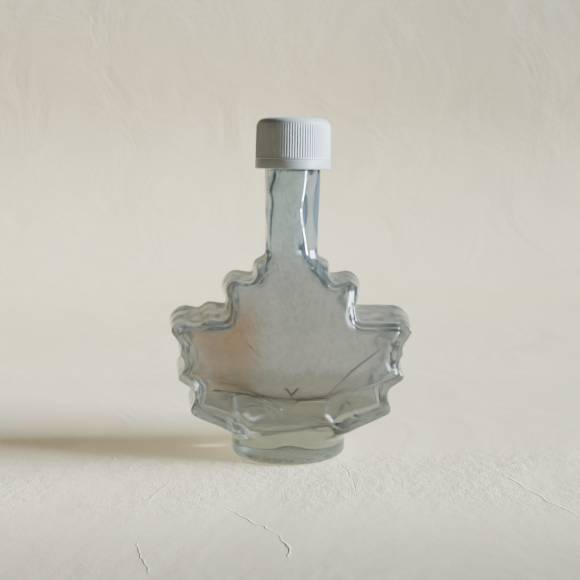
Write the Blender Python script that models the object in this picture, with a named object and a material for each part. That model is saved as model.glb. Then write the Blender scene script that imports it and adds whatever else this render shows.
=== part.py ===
"""Maple leaf bottle: a small clear glass flask in the shape of a maple leaf, with a ribbed screw cap.

The bottle is one solid.  Its skin is a loft: rays run out from the middle of the leaf to its
outline, and along every ray the surface goes up the side wall, over a rounded edge and across the
flat face.  The round neck and the oval foot go on from the same rays.  The cavity is a second,
smoother loft inside it, joined to the skin over the lip of the neck.
The front of the leaf looks along -Y, and the origin is on the floor under the middle of the foot.
"""

import math

import bmesh
import bpy
import numpy as np

MM = 0.001

# ---- leaf outline, right half: (x, z, corner radius) in mm, from the neck down to the foot ----
NECK_Z = 69.5            # the neck is round from here up
NECK_RADIUS = 8.6
FOOT_Z = 5.0             # the foot is an upright oval from here down
FOOT_HALF_WIDTH = 19.3
HALF_OUTLINE = [
    (NECK_RADIUS, 67.4, 2.5),
    (12.7, 65.2, 2.2),   # shoulder
    (12.5, 61.3, 1.0),   # notch
    (19.6, 62.6, 4.2),   # upper lobe
    (23.6, 58.0, 4.6),
    (20.6, 50.9, 1.0),   # notch
    (36.4, 50.7, 5.0),   # great lobe
    (41.0, 45.9, 4.0),
    (36.4, 39.6, 1.0),   # notch
    (37.4, 37.0, 1.6),   # small tooth
    (35.4, 35.1, 0.9),   # notch
    (38.9, 29.2, 4.2),   # third lobe
    (32.3, 25.0, 1.0),   # notch
    (34.8, 17.4, 4.2),   # lowest lobe
    (21.6, 11.0, 3.0),   # hip above the foot
    (FOOT_HALF_WIDTH, 7.5, 3.0),
]
GREAT_LOBE = 6           # on the left half, a hump and a dip stand before this corner
HUMP_AND_DIP = [(27.2, 52.0, 2.0), (30.2, 49.6, 1.2)]
CENTRE_Z = 27.0          # the rays start here
OPEN_END = 40.0          # how far an outline runs on past its ends, so that they count as no edge

# ---- sections of the leaf ----
FOOT_HALF_DEPTH = 14.3
LEAF_HALF_DEPTH = 16.5
EDGE_ROUND = 0.8         # rounded edge between side wall and face
TOP_SLOPE = 0.21         # draft of the walls that face up, from the parting plane to both faces
SIDE_SLOPE = 0.13        # and of all the others
SHOULDER_Z = (43.0, 71.5)
HAUNCH_Z = (5.0, 28.0)
EDGE_FADE_TOP_Z = (60.0, NECK_Z)
EDGE_FADE_FOOT_Z = (FOOT_Z, 14.0)
NECK_BLEND = 3.0         # the last of the shoulder, which turns wholly round

# ---- neck and foot ----
FINISH_RADIUS = 8.95     # the neck under the cap
FINISH_Z = 92.0
NECK_STRAIGHT = 8.0      # the neck keeps its radius this far up, then widens to the finish
LIP_Z = 108.4
LIP_ROUND = 1.2
FOOT_ROUND = 2.2
STAND_WIDTH = 4.5        # flat ring that it stands on
PUSH_UP = 0.8            # rise of the underside inside that ring
PUSH_UP_RUN = 2.0        # width of the slope up to it

# ---- cavity ----
BORE_RADIUS = 5.1        # where the bore opens into the leaf
WAIST_RADIUS = 5.0       # narrowest place of the bore
WAIST_Z = 83.0
MOUTH_RADIUS = 5.6       # bore at the lip
MOUTH_Z = 94.0
FLOOR_Z = 9.5            # top of the thick base
FACE_WALL = 2.7          # glass of the faces
CAVITY_ROUND = 3.4
CAVITY_SLOPE = 0.16      # draft of the cavity's side wall
CAVITY_OUTLINE = [
    (BORE_RADIUS, 67.0, 6.0),
    (9.8, 62.2, 3.6),
    (10.8, 59.0, 1.5),
    (21.2, 59.2, 3.4),
    (19.5, 47.4, 1.8),
    (38.2, 47.3, 3.6),
    (33.7, 38.8, 1.5),
    (33.2, 35.6, 1.5),
    (35.3, 30.0, 2.6),
    (29.6, 26.3, 1.5),
    (31.6, 18.8, 2.8),
    (18.5, 13.3, 3.0),
    (14.5, FLOOR_Z, 3.0),
]

# ---- cap ----
CAP_BASE_Z = 94.8
CAP_TOP_Z = 110.5
CAP_BASE_RADIUS = 12.1
CAP_TOP_RADIUS = 11.75
CAP_SHOULDER = 2.7
CAP_WALL = 1.6
RIB_COUNT = 92
RIB_DEPTH = 0.24
RIBS_Z = (98.0, 107.8)
RIB_RUN_OUT = 0.4
CAP_BORE_SIDES = 64
GAP = 0.3                # between two pieces that touch

# ---- mesh ----
ARC_STEP = 1.1           # longest step round a corner
RUN_STEP = 4.5           # longest step along a straight run
SHORTEST_STEP = 0.35
OVAL_RAYS = 9            # rays over the front half of the neck, and of the foot
WALL_ROWS = 1
EDGE_ROWS = 3
FACE_ROWS = 3
SETTLE_PASSES = 6
SCAN_STEP = 0.25
WELD = 0.02
SHARP_ANGLE = 35.0       # edges that bend more than this stay sharp in shading


def smooth_step(value, low, high):
    """0 below low, 1 above high, and a smooth S that bends gently between."""
    t = np.clip((value - low) / (high - low), 0.0, 1.0)
    return t * t * t * (10.0 - 15.0 * t + 6.0 * t * t)


def blend(low, high, share):
    """low at share 0 and high at share 1."""
    return low + (high - low) * share


def rounded_line(corners, ends):
    """A line from the first end to the last through the corners, each turned into an arc."""
    apexes = [np.array(p[:2], float) for p in [ends[0]] + corners + [ends[1]]]
    points = [apexes[0]]
    for before, apex, after, corner in zip(apexes[:-2], apexes[1:-1], apexes[2:], corners):
        back, ahead = before - apex, after - apex
        reach = 0.49 * min(np.linalg.norm(back), np.linalg.norm(ahead))
        back, ahead = back / np.linalg.norm(back), ahead / np.linalg.norm(ahead)
        half = 0.5 * math.acos(max(-1.0, min(1.0, float(back @ ahead))))
        tangent = min(corner[2] / math.tan(half), reach)
        radius = tangent * math.tan(half)
        centre = apex + (back + ahead) / np.linalg.norm(back + ahead) * radius / math.sin(half)
        arm = apex + back * tangent - centre
        sweep = math.copysign(math.pi - 2.0 * half, arm[1] * back[0] - arm[0] * back[1])
        for angle in np.linspace(0.0, sweep, 2 + int(abs(sweep) * radius / ARC_STEP)):
            c, s = math.cos(angle), math.sin(angle)
            points.append(centre + (c * arm[0] - s * arm[1], s * arm[0] + c * arm[1]))
    points.append(apexes[-1])
    return split_runs(np.array(points))


def split_runs(line):
    """The line with its long straight runs cut into equal steps."""
    points = [line[0]]
    for end in line[1:]:
        start, run = points[-1], np.linalg.norm(end - points[-1])
        if run < SHORTEST_STEP:
            points[-1] = 0.5 * (start + end) if len(points) > 1 else start
            continue
        steps = math.ceil(run / RUN_STEP)
        points.extend(blend(start, end, share) for share in np.arange(1, steps + 1) / steps)
    points[-1] = line[-1]
    return np.array(points)


def distance_to(line, points):
    """How far each point is from a line of straight segments."""
    start, along = line[:-1], np.diff(line, axis=0)
    offset = points[:, None, :] - start[None]
    share = np.clip((offset * along).sum(2) / (along ** 2).sum(1), 0.0, 1.0)
    return np.sqrt(((offset - share[..., None] * along) ** 2).sum(2).min(1))


def skin_section(z):
    """Half depth at height z, and the width and depth of the rounded edge.

    The edge grows into the whole round neck above and into the whole oval foot below.
    """
    shoulder, haunch = smooth_step(z, *SHOULDER_Z), 1.0 - smooth_step(z, *HAUNCH_Z)
    top, foot = smooth_step(z, *EDGE_FADE_TOP_Z), 1.0 - smooth_step(z, *EDGE_FADE_FOOT_Z)
    depth = LEAF_HALF_DEPTH + (NECK_RADIUS - LEAF_HALF_DEPTH) * shoulder
    depth = depth + (FOOT_HALF_DEPTH - LEAF_HALF_DEPTH) * haunch
    edge_width = EDGE_ROUND + (NECK_RADIUS - EDGE_ROUND) * top + (FOOT_HALF_WIDTH - EDGE_ROUND) * foot
    edge_depth = EDGE_ROUND + (NECK_RADIUS - EDGE_ROUND) * top + (FOOT_HALF_DEPTH - EDGE_ROUND) * foot
    return blend(depth, NECK_RADIUS, smooth_step(z, NECK_Z - NECK_BLEND, NECK_Z)), edge_width, edge_depth


def cavity_section(z):
    """The same three sizes for the cavity, which is a wall thinner and becomes the bore."""
    top = smooth_step(z, *EDGE_FADE_TOP_Z)
    edge = blend(CAVITY_ROUND, BORE_RADIUS, top)
    wall = blend(FACE_WALL, NECK_RADIUS - BORE_RADIUS, top)
    return skin_section(z)[0] - wall, edge, edge


def wall_slopes(line):
    """The draft at every point of a side's outline, by how much the wall faces up there."""
    run = np.gradient(np.abs(line[:, 0])), np.gradient(line[:, 1])
    return blend(SIDE_SLOPE, TOP_SLOPE, np.clip(run[0] / np.hypot(*run), 0.0, 1.0))


def leaf_rows(ends, line, section, slope):
    """Rows of (x, depth, z) for rays that end on the line.

    They run from the parting plane up the wall, over the rounded edge and in to the middle.
    """
    centre = np.array([0.0, CENTRE_Z])
    reach = np.linalg.norm(ends - centre, axis=1)
    heading = (ends - centre) / reach[:, None]
    steps = np.arange(0.0, 0.8 * reach.min(), SCAN_STEP)
    spots = centre + heading[:, None, :] * (reach[:, None] - steps)[..., None]
    gaps = distance_to(line, spots.reshape(-1, 2)).reshape(len(ends), len(steps))
    gaps[:, 0] = 0.0
    gaps = np.maximum.accumulate(gaps, axis=1) + np.arange(len(steps)) * 1e-6

    def row(wall, angle):
        """wall is the share of the side wall that is climbed, angle the turn over the edge."""
        spot = ends
        for _ in range(SETTLE_PASSES):
            depth, edge_width, edge_depth = section(spot[:, 1])
            flat = np.maximum(depth - edge_depth, 0.0)
            inset = slope * flat * wall + edge_width * (1.0 - math.cos(angle))
            inward = np.array([np.interp(i, gap, steps) for i, gap in zip(inset, gaps)])
            spot = 0.5 * spot + 0.5 * (centre + heading * (reach - inward)[:, None])
        return np.column_stack([spot[:, 0], flat * wall + edge_depth * math.sin(angle), spot[:, 1]])

    rows = [row(share, 0.0) for share in np.linspace(0.0, 1.0, WALL_ROWS, endpoint=False)]
    rows += [row(1.0, angle) for angle in np.linspace(0.0, 0.5 * math.pi, EDGE_ROWS + 1)]
    rim = rows[-1][:, [0, 2]]
    for share in np.linspace(0.0, 1.0, FACE_ROWS + 1)[1:]:
        spot = blend(rim, centre, share)
        rows.append(np.column_stack([spot[:, 0], section(spot[:, 1])[0], spot[:, 1]]))
    return np.array(rows)


def oval_rows(corner, other_corner, half_width, z, line, section):
    """Rows for the rays that leave the leaf through its neck or its foot, between two corner rays."""
    centre = np.array([0.0, CENTRE_Z])
    across = half_width * np.cos(np.linspace(0.0, math.pi, OVAL_RAYS + 2))
    ends = np.column_stack([across, np.full(len(across), z)])
    share_in = (corner[:, 2] - CENTRE_Z) / (corner[0, 2] - CENTRE_Z)
    rows = []
    for share, first, last in zip(share_in, corner, other_corner):
        spot = blend(centre, ends, share)
        depth, edge_width, edge_depth = section(spot[:, 1])
        inset = np.clip(distance_to(line, spot), 0.0, edge_width)
        bend = np.sqrt(1.0 - ((edge_width - inset) / edge_width) ** 2)
        row = np.column_stack([spot[:, 0], depth - edge_depth + edge_depth * bend, spot[:, 1]])
        row[0], row[-1] = first, last
        rows.append(row)
    return np.array(rows)


def oval_ring(half_width, half_depth, z):
    """A closed ring: across the front from right to left, and back behind."""
    front = np.linspace(0.0, math.pi, OVAL_RAYS + 2)
    angles = np.r_[front, front[1:-1] + math.pi]
    across, depth = half_width * np.cos(angles), -half_depth * np.sin(angles)
    return np.column_stack([across, depth, np.full(len(angles), z)])


def arc(centre, radius, start, end, steps=3):
    """(radius, z) points round part of a circle, with the angles in degrees from +X towards +Z."""
    angles = np.radians(np.linspace(start, end, steps + 1))
    return [(centre[0] + radius * math.cos(a), centre[1] + radius * math.sin(a)) for a in angles]


class Sheets:
    """Collects sheets of vertices and welds them into one closed mesh."""

    def __init__(self):
        self.mesh = bmesh.new()

    def add(self, rows, closed=False):
        """Faces over a grid of rows; a closed sheet joins its last column to its first."""
        grid = [[self.mesh.verts.new(point) for point in row] for row in np.asarray(rows) * MM]
        for upper, lower in zip(grid[:-1], grid[1:]):
            for i in range(len(upper) if closed else len(upper) - 1):
                j = (i + 1) % len(upper)
                self.mesh.faces.new((upper[i], upper[j], lower[j], lower[i]))

    def add_both_faces(self, rows):
        """The rows of (x, depth, z) as the front of the bottle and, turned over, as its back."""
        for side in (-1.0, 1.0):
            self.add(rows * np.array([1.0, side, 1.0]))

    def weld(self, name):
        """One mesh without doubled points, with its faces turned outwards."""
        bmesh.ops.remove_doubles(self.mesh, verts=self.mesh.verts, dist=WELD * MM)
        bmesh.ops.triangulate(self.mesh, faces=self.mesh.faces)
        bmesh.ops.recalc_face_normals(self.mesh, faces=self.mesh.faces)
        data = bpy.data.meshes.new(name)
        self.mesh.to_mesh(data)
        self.mesh.free()
        data.shade_smooth()
        data.set_sharp_from_angle(angle=math.radians(SHARP_ANGLE))
        return data


def side_line(side):
    """The outline of one side of the leaf, from the neck down to the foot."""
    corners = list(HALF_OUTLINE)
    if side < 0:
        corners[GREAT_LOBE:GREAT_LOBE] = HUMP_AND_DIP
    line = rounded_line(corners, [(NECK_RADIUS, NECK_Z), (FOOT_HALF_WIDTH, FOOT_Z)])
    return line * np.array([side, 1.0])


def with_open_ends(line):
    """The line run on straight up and down, so that its ends count as no edge."""
    return np.vstack([line[0] + (0.0, OPEN_END), line, line[-1] - (0.0, OPEN_END)])


def skin(sheets):
    """The outside: leaf, neck and foot."""
    right, left = side_line(1), side_line(-1)
    right_long, left_long = with_open_ends(right), with_open_ends(left)
    right_rows = leaf_rows(right, right_long, skin_section, wall_slopes(right))
    left_rows = leaf_rows(left, left_long, skin_section, wall_slopes(left))
    around = np.vstack([right_long, left_long[::-1]])
    sheets.add_both_faces(right_rows)
    sheets.add_both_faces(left_rows)
    ends = ((0, NECK_RADIUS, NECK_Z), (-1, FOOT_HALF_WIDTH, FOOT_Z))
    for corner, half_width, z in ends:
        first, last = right_rows[:, corner], left_rows[:, corner]
        sheets.add_both_faces(oval_rows(first, last, half_width, z, around, skin_section))
    foot_turn = arc((0.0, FOOT_ROUND), FOOT_ROUND, 0, -90)
    foot = [(FOOT_Z, 0.0)] + [(z, FOOT_ROUND - run) for run, z in foot_turn]
    foot += [(0.0, FOOT_ROUND + STAND_WIDTH), (PUSH_UP, FOOT_ROUND + STAND_WIDTH + PUSH_UP_RUN)]
    rings = [oval_ring(FOOT_HALF_WIDTH - inset, FOOT_HALF_DEPTH - inset, z) for z, inset in foot]
    sheets.add(rings + [oval_ring(0.0, 0.0, PUSH_UP)], closed=True)


def neck(sheets):
    """Up the outside of the neck, over the lip and down the bore."""
    outer = arc((FINISH_RADIUS - LIP_ROUND, LIP_Z - LIP_ROUND), LIP_ROUND, 0, 90)
    inner = arc((MOUTH_RADIUS + LIP_ROUND, LIP_Z - LIP_ROUND), LIP_ROUND, 90, 180)
    profile = [(NECK_RADIUS, NECK_Z), (NECK_RADIUS, NECK_Z + NECK_STRAIGHT), (FINISH_RADIUS, FINISH_Z)]
    profile += outer + inner + [(MOUTH_RADIUS, MOUTH_Z), (WAIST_RADIUS, WAIST_Z), (BORE_RADIUS, NECK_Z)]
    sheets.add([oval_ring(radius, radius, z) for radius, z in profile], closed=True)


def cavity(sheets):
    """The inside below the neck: one loft that is closed at the floor."""
    half = rounded_line(CAVITY_OUTLINE, [(BORE_RADIUS, NECK_Z), (0.0, FLOOR_Z)])
    line = np.vstack([half, (half[:-1] * (-1.0, 1.0))[::-1]])
    around = np.vstack([line[0] + (0.0, OPEN_END), line, line[-1] + (0.0, OPEN_END)])
    rows = leaf_rows(line, around, cavity_section, CAVITY_SLOPE)
    sheets.add_both_faces(rows)
    top = oval_rows(rows[:, 0], rows[:, -1], BORE_RADIUS, NECK_Z, around, cavity_section)
    sheets.add_both_faces(top)


def bottle_mesh():
    """The whole bottle, skin and cavity, as one closed mesh."""
    sheets = Sheets()
    skin(sheets)
    neck(sheets)
    cavity(sheets)
    return sheets.weld("bottle")


def cap_radius(z):
    """Outer radius of the cap at height z: it tapers a little towards the top."""
    return blend(CAP_BASE_RADIUS, CAP_TOP_RADIUS, (z - CAP_BASE_Z) / (CAP_TOP_Z - CAP_BASE_Z))


def cap_mesh():
    """The cap as a closed plug with upright ribs; its hollow is cut out afterwards."""
    angles = np.arange(2 * RIB_COUNT) * math.pi / RIB_COUNT
    wave = np.where(np.arange(2 * RIB_COUNT) % 2 == 0, 0.0, 1.0)
    rows = [(CAP_BASE_Z, 0.0), (RIBS_Z[0] - RIB_RUN_OUT, 0.0), (RIBS_Z[0], 1.0), (RIBS_Z[1], 1.0)]
    rings = [(z, cap_radius(z) - RIB_DEPTH * share * wave) for z, share in rows]
    centre = (cap_radius(CAP_TOP_Z) - CAP_SHOULDER, CAP_TOP_Z - CAP_SHOULDER)
    for run, z in arc(centre, CAP_SHOULDER, 15, 90):
        rings.append((z, np.full(len(angles), run)))
    sheets = Sheets()
    x, y = np.cos(angles), np.sin(angles)
    grid = [np.column_stack([r * x, r * y, np.full(len(angles), z)]) for z, r in rings]
    middle = np.zeros((len(angles), 2))
    ends = [np.column_stack([middle, np.full(len(angles), z)]) for z in (CAP_BASE_Z, CAP_TOP_Z)]
    sheets.add([ends[0]] + grid + [ends[1]], closed=True)
    return sheets.weld("cap")


def principled(name, color, roughness, transmission=0.0):
    """A Principled material with its colour, roughness and, for glass, its transmission."""
    material = bpy.data.materials.new(name)
    material.use_nodes = True
    shader = material.node_tree.nodes["Principled BSDF"]
    shader.inputs["Base Color"].default_value = (*color, 1.0)
    shader.inputs["Roughness"].default_value = roughness
    shader.inputs["Metallic"].default_value = 0.0
    shader.inputs["Transmission Weight"].default_value = transmission
    return material


def collection(name):
    """A new collection in the scene."""
    made = bpy.data.collections.new(name)
    bpy.context.scene.collection.children.link(made)
    return made


def place(name, mesh, material, home):
    """An object with its material, linked to one collection."""
    item = bpy.data.objects.new(name, mesh)
    item.data.materials.append(material)
    home.objects.link(item)
    return item


def hollow_cap(cap, cutters):
    """Cuts the cap's bore, which clears the neck and its lip by the gap."""
    ceiling = LIP_Z + GAP
    radius = CAP_BASE_RADIUS - CAP_WALL - RIB_DEPTH
    low = CAP_BASE_Z - CAP_WALL
    height = ceiling - low
    bpy.ops.mesh.primitive_cylinder_add(vertices=CAP_BORE_SIDES, radius=radius * MM, depth=height * MM)
    cutter = bpy.context.object
    cutter.name = "cap_bore_cutter"
    cutter.location.z = 0.5 * (ceiling + low) * MM
    cutter.hide_render = True
    cutter.display_type = "WIRE"
    for home in list(cutter.users_collection):
        home.objects.unlink(cutter)
    cutters.objects.link(cutter)
    cut = cap.modifiers.new("bore", "BOOLEAN")
    cut.operation = "DIFFERENCE"
    cut.solver = "EXACT"
    cut.object = cutter


def main():
    for item in list(bpy.data.objects):
        bpy.data.objects.remove(item, do_unlink=True)
    parts, cutters = collection("maple_leaf_bottle"), collection("cutters")
    glass = principled("clear glass", (0.93, 0.95, 0.93), 0.02, transmission=1.0)
    plastic = principled("white polypropylene", (0.82, 0.83, 0.83), 0.38)
    place("bottle", bottle_mesh(), glass, parts)
    hollow_cap(place("cap", cap_mesh(), plastic, parts), cutters)


main()
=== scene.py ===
"""Maple leaf bottle: its moulded glass, its ribbed screw cap and a plain stage, laid out as an add-on.

The glass is one closed mesh.  Its outside and its cavity are lofts: rays run out from the middle
of the leaf to its outline, and along every ray the surface goes up the side wall, over a rounded
edge and across the face.  All lengths in the shape functions are in millimetres.
"""

import math
from functools import partial, reduce

import bmesh
import bpy
import numpy as np
from bpy.props import FloatProperty, FloatVectorProperty, IntProperty, PointerProperty
from mathutils import Matrix, Vector


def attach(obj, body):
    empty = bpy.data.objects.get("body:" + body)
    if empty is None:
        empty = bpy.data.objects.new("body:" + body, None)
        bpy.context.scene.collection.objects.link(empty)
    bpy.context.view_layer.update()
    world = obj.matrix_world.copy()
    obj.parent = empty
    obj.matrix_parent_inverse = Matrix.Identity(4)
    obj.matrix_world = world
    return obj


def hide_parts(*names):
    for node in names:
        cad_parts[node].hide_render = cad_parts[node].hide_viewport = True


bl_info = {
    "name": "Maple leaf bottle",
    "version": (1, 0, 0),
    "blender": (4, 5, 0),
    "location": "View3D > Sidebar > Maple bottle",
    "description": "Makes a moulded glass leaf bottle, its ribbed cap and a plain stage",
    "category": "Object",
}

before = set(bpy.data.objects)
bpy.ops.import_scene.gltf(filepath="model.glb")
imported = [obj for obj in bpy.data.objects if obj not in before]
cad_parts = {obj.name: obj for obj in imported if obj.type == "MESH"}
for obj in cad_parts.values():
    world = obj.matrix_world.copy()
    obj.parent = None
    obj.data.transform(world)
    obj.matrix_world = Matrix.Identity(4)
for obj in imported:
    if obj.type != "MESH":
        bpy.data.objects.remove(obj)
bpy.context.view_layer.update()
BODY = "root"
OUTSIDE, INSIDE, UNDERSIDE = 0, 1, 2      # material numbers of the glass
MM = 0.001

# ---- leaf outline, right half: (x, z, corner radius), from the neck down to the foot ----
NECK_Z, NECK_RADIUS = 69.5, 8.6
FOOT_Z, FOOT_HALF_WIDTH = 5.0, 19.3
HALF_OUTLINE = [
    (NECK_RADIUS, 67.4, 2.5), (12.7, 65.2, 2.2), (12.5, 61.3, 1.0),  # shoulder and notch
    (19.6, 62.6, 4.2), (23.6, 58.0, 4.6), (20.6, 50.9, 1.0),  # upper lobe and notch
    (36.4, 50.7, 5.0), (41.0, 45.9, 4.0), (36.4, 39.6, 1.0),  # great lobe and notch
    (37.4, 37.0, 1.6), (35.4, 35.1, 0.9),  # small tooth and notch
    (38.9, 29.2, 4.2), (32.3, 25.0, 1.0),  # third lobe and notch
    (34.8, 17.4, 4.2), (21.6, 11.0, 3.0), (FOOT_HALF_WIDTH, 7.5, 3.0),  # lowest lobe, hip, foot
]
GREAT_LOBE = 6           # on the left half, a hump and a dip stand before this corner
HUMP_AND_DIP = [(27.2, 52.0, 2.0), (30.2, 49.6, 1.2)]
CENTRE_Z = 27.0          # the rays start here
OPEN_END = 40.0          # how far an outline runs on past its ends, so that they count as no edge

# ---- sections of the leaf ----
PANEL_RISE = 0.7         # the leaf's face stands this proud of its rim
PANEL_EDGE = 1.1         # width of the slope up to it
FOOT_HALF_DEPTH = 14.3
LEAF_HALF_DEPTH = 16.5 - PANEL_RISE
EDGE_ROUND = 0.8
CAVITY_SLOPE = 0.16
TOP_SLOPE = 0.21         # draft of the walls that face up, from the parting plane to both faces
SIDE_SLOPE = 0.13        # and of all the others
SHOULDER_Z = (43.0, 71.5)
NECK_JOIN_Z = (NECK_Z - 3.0, NECK_Z)
HAUNCH_Z = (5.0, 28.0)
EDGE_FADE_TOP_Z = (60.0, NECK_Z)
EDGE_FADE_FOOT_Z = (FOOT_Z, 14.0)

# ---- neck and foot ----
FINISH_RADIUS, FINISH_Z = 8.95, 92.0
NECK_STRAIGHT_Z = 77.5   # above this the neck widens to the finish
LIP_Z, LIP_ROUND = 108.4, 1.2
FOOT_ROUND = 2.2
STAND_WIDTH = 4.5
PUSH_UP = 0.8
PUSH_UP_WIDTH = 2.5      # of the slope up to it
PUSH_UP_RINGS = (0.66, 0.33, 0.0)

# ---- cavity ----
BORE_RADIUS = 5.1
WAIST_RADIUS, WAIST_Z = 5.0, 83.0
MOUTH_RADIUS, MOUTH_Z = 5.6, 94.0
BORE_LEAN = -1.2         # the blown bore stands off the middle by this, between these heights
LEAN_Z = (58.0, 74.0, 86.0, 94.0)
FLOOR_Z = 9.5
FACE_WALL = 2.7
CAVITY_ROUND = 3.0
FLOOR_EDGE_ROUND = 6.0   # the cavity is rounder towards its floor
FLOOR_EDGE_Z = (11.0, 27.0)
FILM_FADE_Z = (60.0, 76.0)  # the film clears between these heights
CAVITY_OUTLINE = [
    (BORE_RADIUS, 67.0, 6.0), (9.8, 62.2, 3.6), (10.8, 59.0, 1.5), (21.2, 59.2, 3.4), (19.5, 47.4, 1.8),
    (38.2, 47.3, 3.6), (33.7, 38.8, 1.5), (33.2, 35.6, 1.5), (35.3, 30.0, 2.6), (29.6, 26.3, 1.5),
    (31.6, 18.8, 2.8), (18.5, 13.3, 3.0), (14.5, FLOOR_Z, 3.0),
]

# ---- relief and painted shade, mostly on the front face ----
CREASE = [  # lower edge of the raised face, from left to right
    (-34.0, 32.0), (-27.4, 30.7), (-17.7, 28.6), (-14.9, 27.4), (-10.8, 24.8), (-5.0, 23.7), (0.0, 23.4),
    (5.0, 23.7), (11.9, 24.6), (15.8, 26.1), (20.6, 26.7), (24.2, 27.4), (28.5, 29.5), (33.9, 31.5),
]
CREASE_SLOPE = 0.4       # half width of the step down at the crease
BACK_PANEL_Z = (12.0, 20.0)   # the back's raised face begins between these heights
CREASE_SHADE_WIDTH = 0.80     # half width of the painted shade line in the crease
CREASE_SHADE_REACH = (10.0, 26.0)  # it is strong nearer than the first and weak beyond the second
CREASE_SHADE_LOSS = 0.75      # by how much it is weaker there
GROOVE_SHADE = 3.2        # painted shade in a groove, for each millimetre of its depth
SEAM_SHADE = 0.5          # painted shade along the mould's parting line, where the glass's outline shows dark
SEAM_WIDTH = 0.7
SEAM_Z = (9.0, 12.0, 66.0, 69.0)
FILM_LEAN = (0.5, 0.95)  # the film grows as the normal leans this far to the front or the back
WALL_LEAN = (0.3, 0.6)   # a side wall's leans no further than this
WALL_FOOT_Z = (8.0, 12.0)
MARKS = [  # (points, height or minus depth, half width)
    ([(0.0, 23.4), (0.0, 13.8)], 0.32, 0.45),  # stalk
    ([(-1.9, 27.2), (-0.2, 25.1), (1.6, 27.2)], -0.30, 0.40),  # fork above it
    ([(11.2, 25.0), (18.6, 33.1), (26.0, 38.9)], -0.20, 0.30),  # side veins
    ([(-19.0, 31.0), (-24.5, 37.0), (-29.5, 41.4)], 0.05, 0.40),
    ([(-9.8, 23.8), (-13.6, 25.0), (-18.0, 25.5), (-24.6, 26.5)], -0.26, 0.40),
    ([(-10.8, 23.9), (-6.6, 21.3), (-3.7, 19.6), (-2.8, 17.4)], 0.55, 0.50),  # folds of the base
    ([(-14.6, 20.3), (-11.8, 21.1), (-9.2, 20.8), (-7.0, 19.4), (-6.4, 17.4)], 0.45, 0.48),
    ([(1.0, 21.3), (2.5, 22.8), (10.1, 23.0)], 0.48, 0.45),
    ([(10.9, 22.8), (10.2, 18.6), (13.5, 14.7), (17.1, 12.9)], 0.60, 0.55),
    ([(-18.9, 23.8), (-18.2, 19.6), (-17.4, 16.4)], 0.75, 0.80),
    ([(18.0, 21.5), (19.5, 17.5), (24.5, 16.0)], 0.45, 0.50),
    ([(-9.4, 11.2), (2.6, 12.8), (15.3, 15.0)], -0.26, 0.50),
    ([(-13.0, 51.0), (-7.6, 46.5), (-2.6, 42.7)], 0.09, 0.30),  # faint mould lines
    ([(-14.3, 41.0), (-9.3, 36.0)], 0.09, 0.30),
]

# ---- waves that the mould and the blowing leave in the glass: (lengths along x, y and z, phase) ----
WAVES = [(17.0, 31.0, 23.0, 0.3), (-11.0, 19.0, 13.0, 1.9), (7.5, -11.0, -9.5, 4.1),
         (5.3, 8.0, 6.1, 2.6)]
SKIN_WAVE, CAVITY_WAVE = 0.05, 0.17
RIPPLE = 0.12            # uneven streaks along the side walls
CAVITY_RIPPLE = 0.30     # and along the cavity's
RIPPLES = [(19.0, 5.2, 31.0, 0.7), (-13.0, 7.7, 23.0, 2.2), (9.0, -6.1, 14.0, 5.0)]
RIPPLE_FADE_Z = (3.0, 12.0, 58.0, 66.0)
RIPPLE_LEAN = (0.4, 0.7)
STILL_Z = (1.0, 5.0)     # no waves at the standing ring
STILL_MOUTH_Z = (MOUTH_Z - 4.0, MOUTH_Z)
NECK_CALM = 0.5          # the waves are this much lower in the neck
NECK_SWAY_Z = [62.0, 68.0, 81.0, 93.0, 96.0]    # the front of the neck stands off by the next row here
NECK_SWAY = [0.0, 0.9, -1.4, -0.2, 0.0]
SWAY_LEAN = (0.15, 0.6)  # the sway grows as the normal turns this far to the front

# ---- cap ----
CAP_BASE_Z, CAP_TOP_Z = 94.8, 110.5
CAP_BASE_RADIUS, CAP_TOP_RADIUS = 12.1, 11.75
CAP_SHOULDER = 2.7
CAP_WALL = 1.6
RIBS_Z = (98.0, 107.9)
RIB_RUN_OUT, RIB_FADE = 0.5, 1.1     # over which they begin at the bottom and end at the top
BAND_Z = 96.6
SLIT_Z = 97.7
SLIT_HALF_WIDTH, SLIT_DEPTH = 0.12, 0.12
CAP_EDGE = 0.35
GAP = 0.3

# ---- fineness of the meshes ----
ARC_STEP = 0.25
OUTLINE_STEP, OUTLINE_SOFTNESS = 0.44, 0.6
CAVITY_STEP, CAVITY_SOFTNESS = 0.75, 1.2
OVAL_RAYS = 38
NECK_ROWS, BORE_ROWS = 19, 25
WALL_SOFTNESS = 0.3      # rows are evened out along the wall by this, and the further in the more
EDGE_SOFTNESS = 1.4
SLOPE_SOFTNESS = 3.0
SETTLE_PASSES = 8
SCAN_STEP, SCAN_SHARE = 0.25, 0.8    # how finely, and how far in, a ray is looked along
CHUNKS = 12
WELD = 0.002
FRONT_ROWS = dict(wall=12, edge=5, step=4, face=62)
BACK_ROWS = {**FRONT_ROWS, "face": 12}
CAVITY_ROWS = dict(wall=6, edge=8, step=0, face=14)
CENTRE_CROWDING = 1.35   # the face's rows lie closer towards the middle
SAMPLES_PER_RIB = 8

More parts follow.
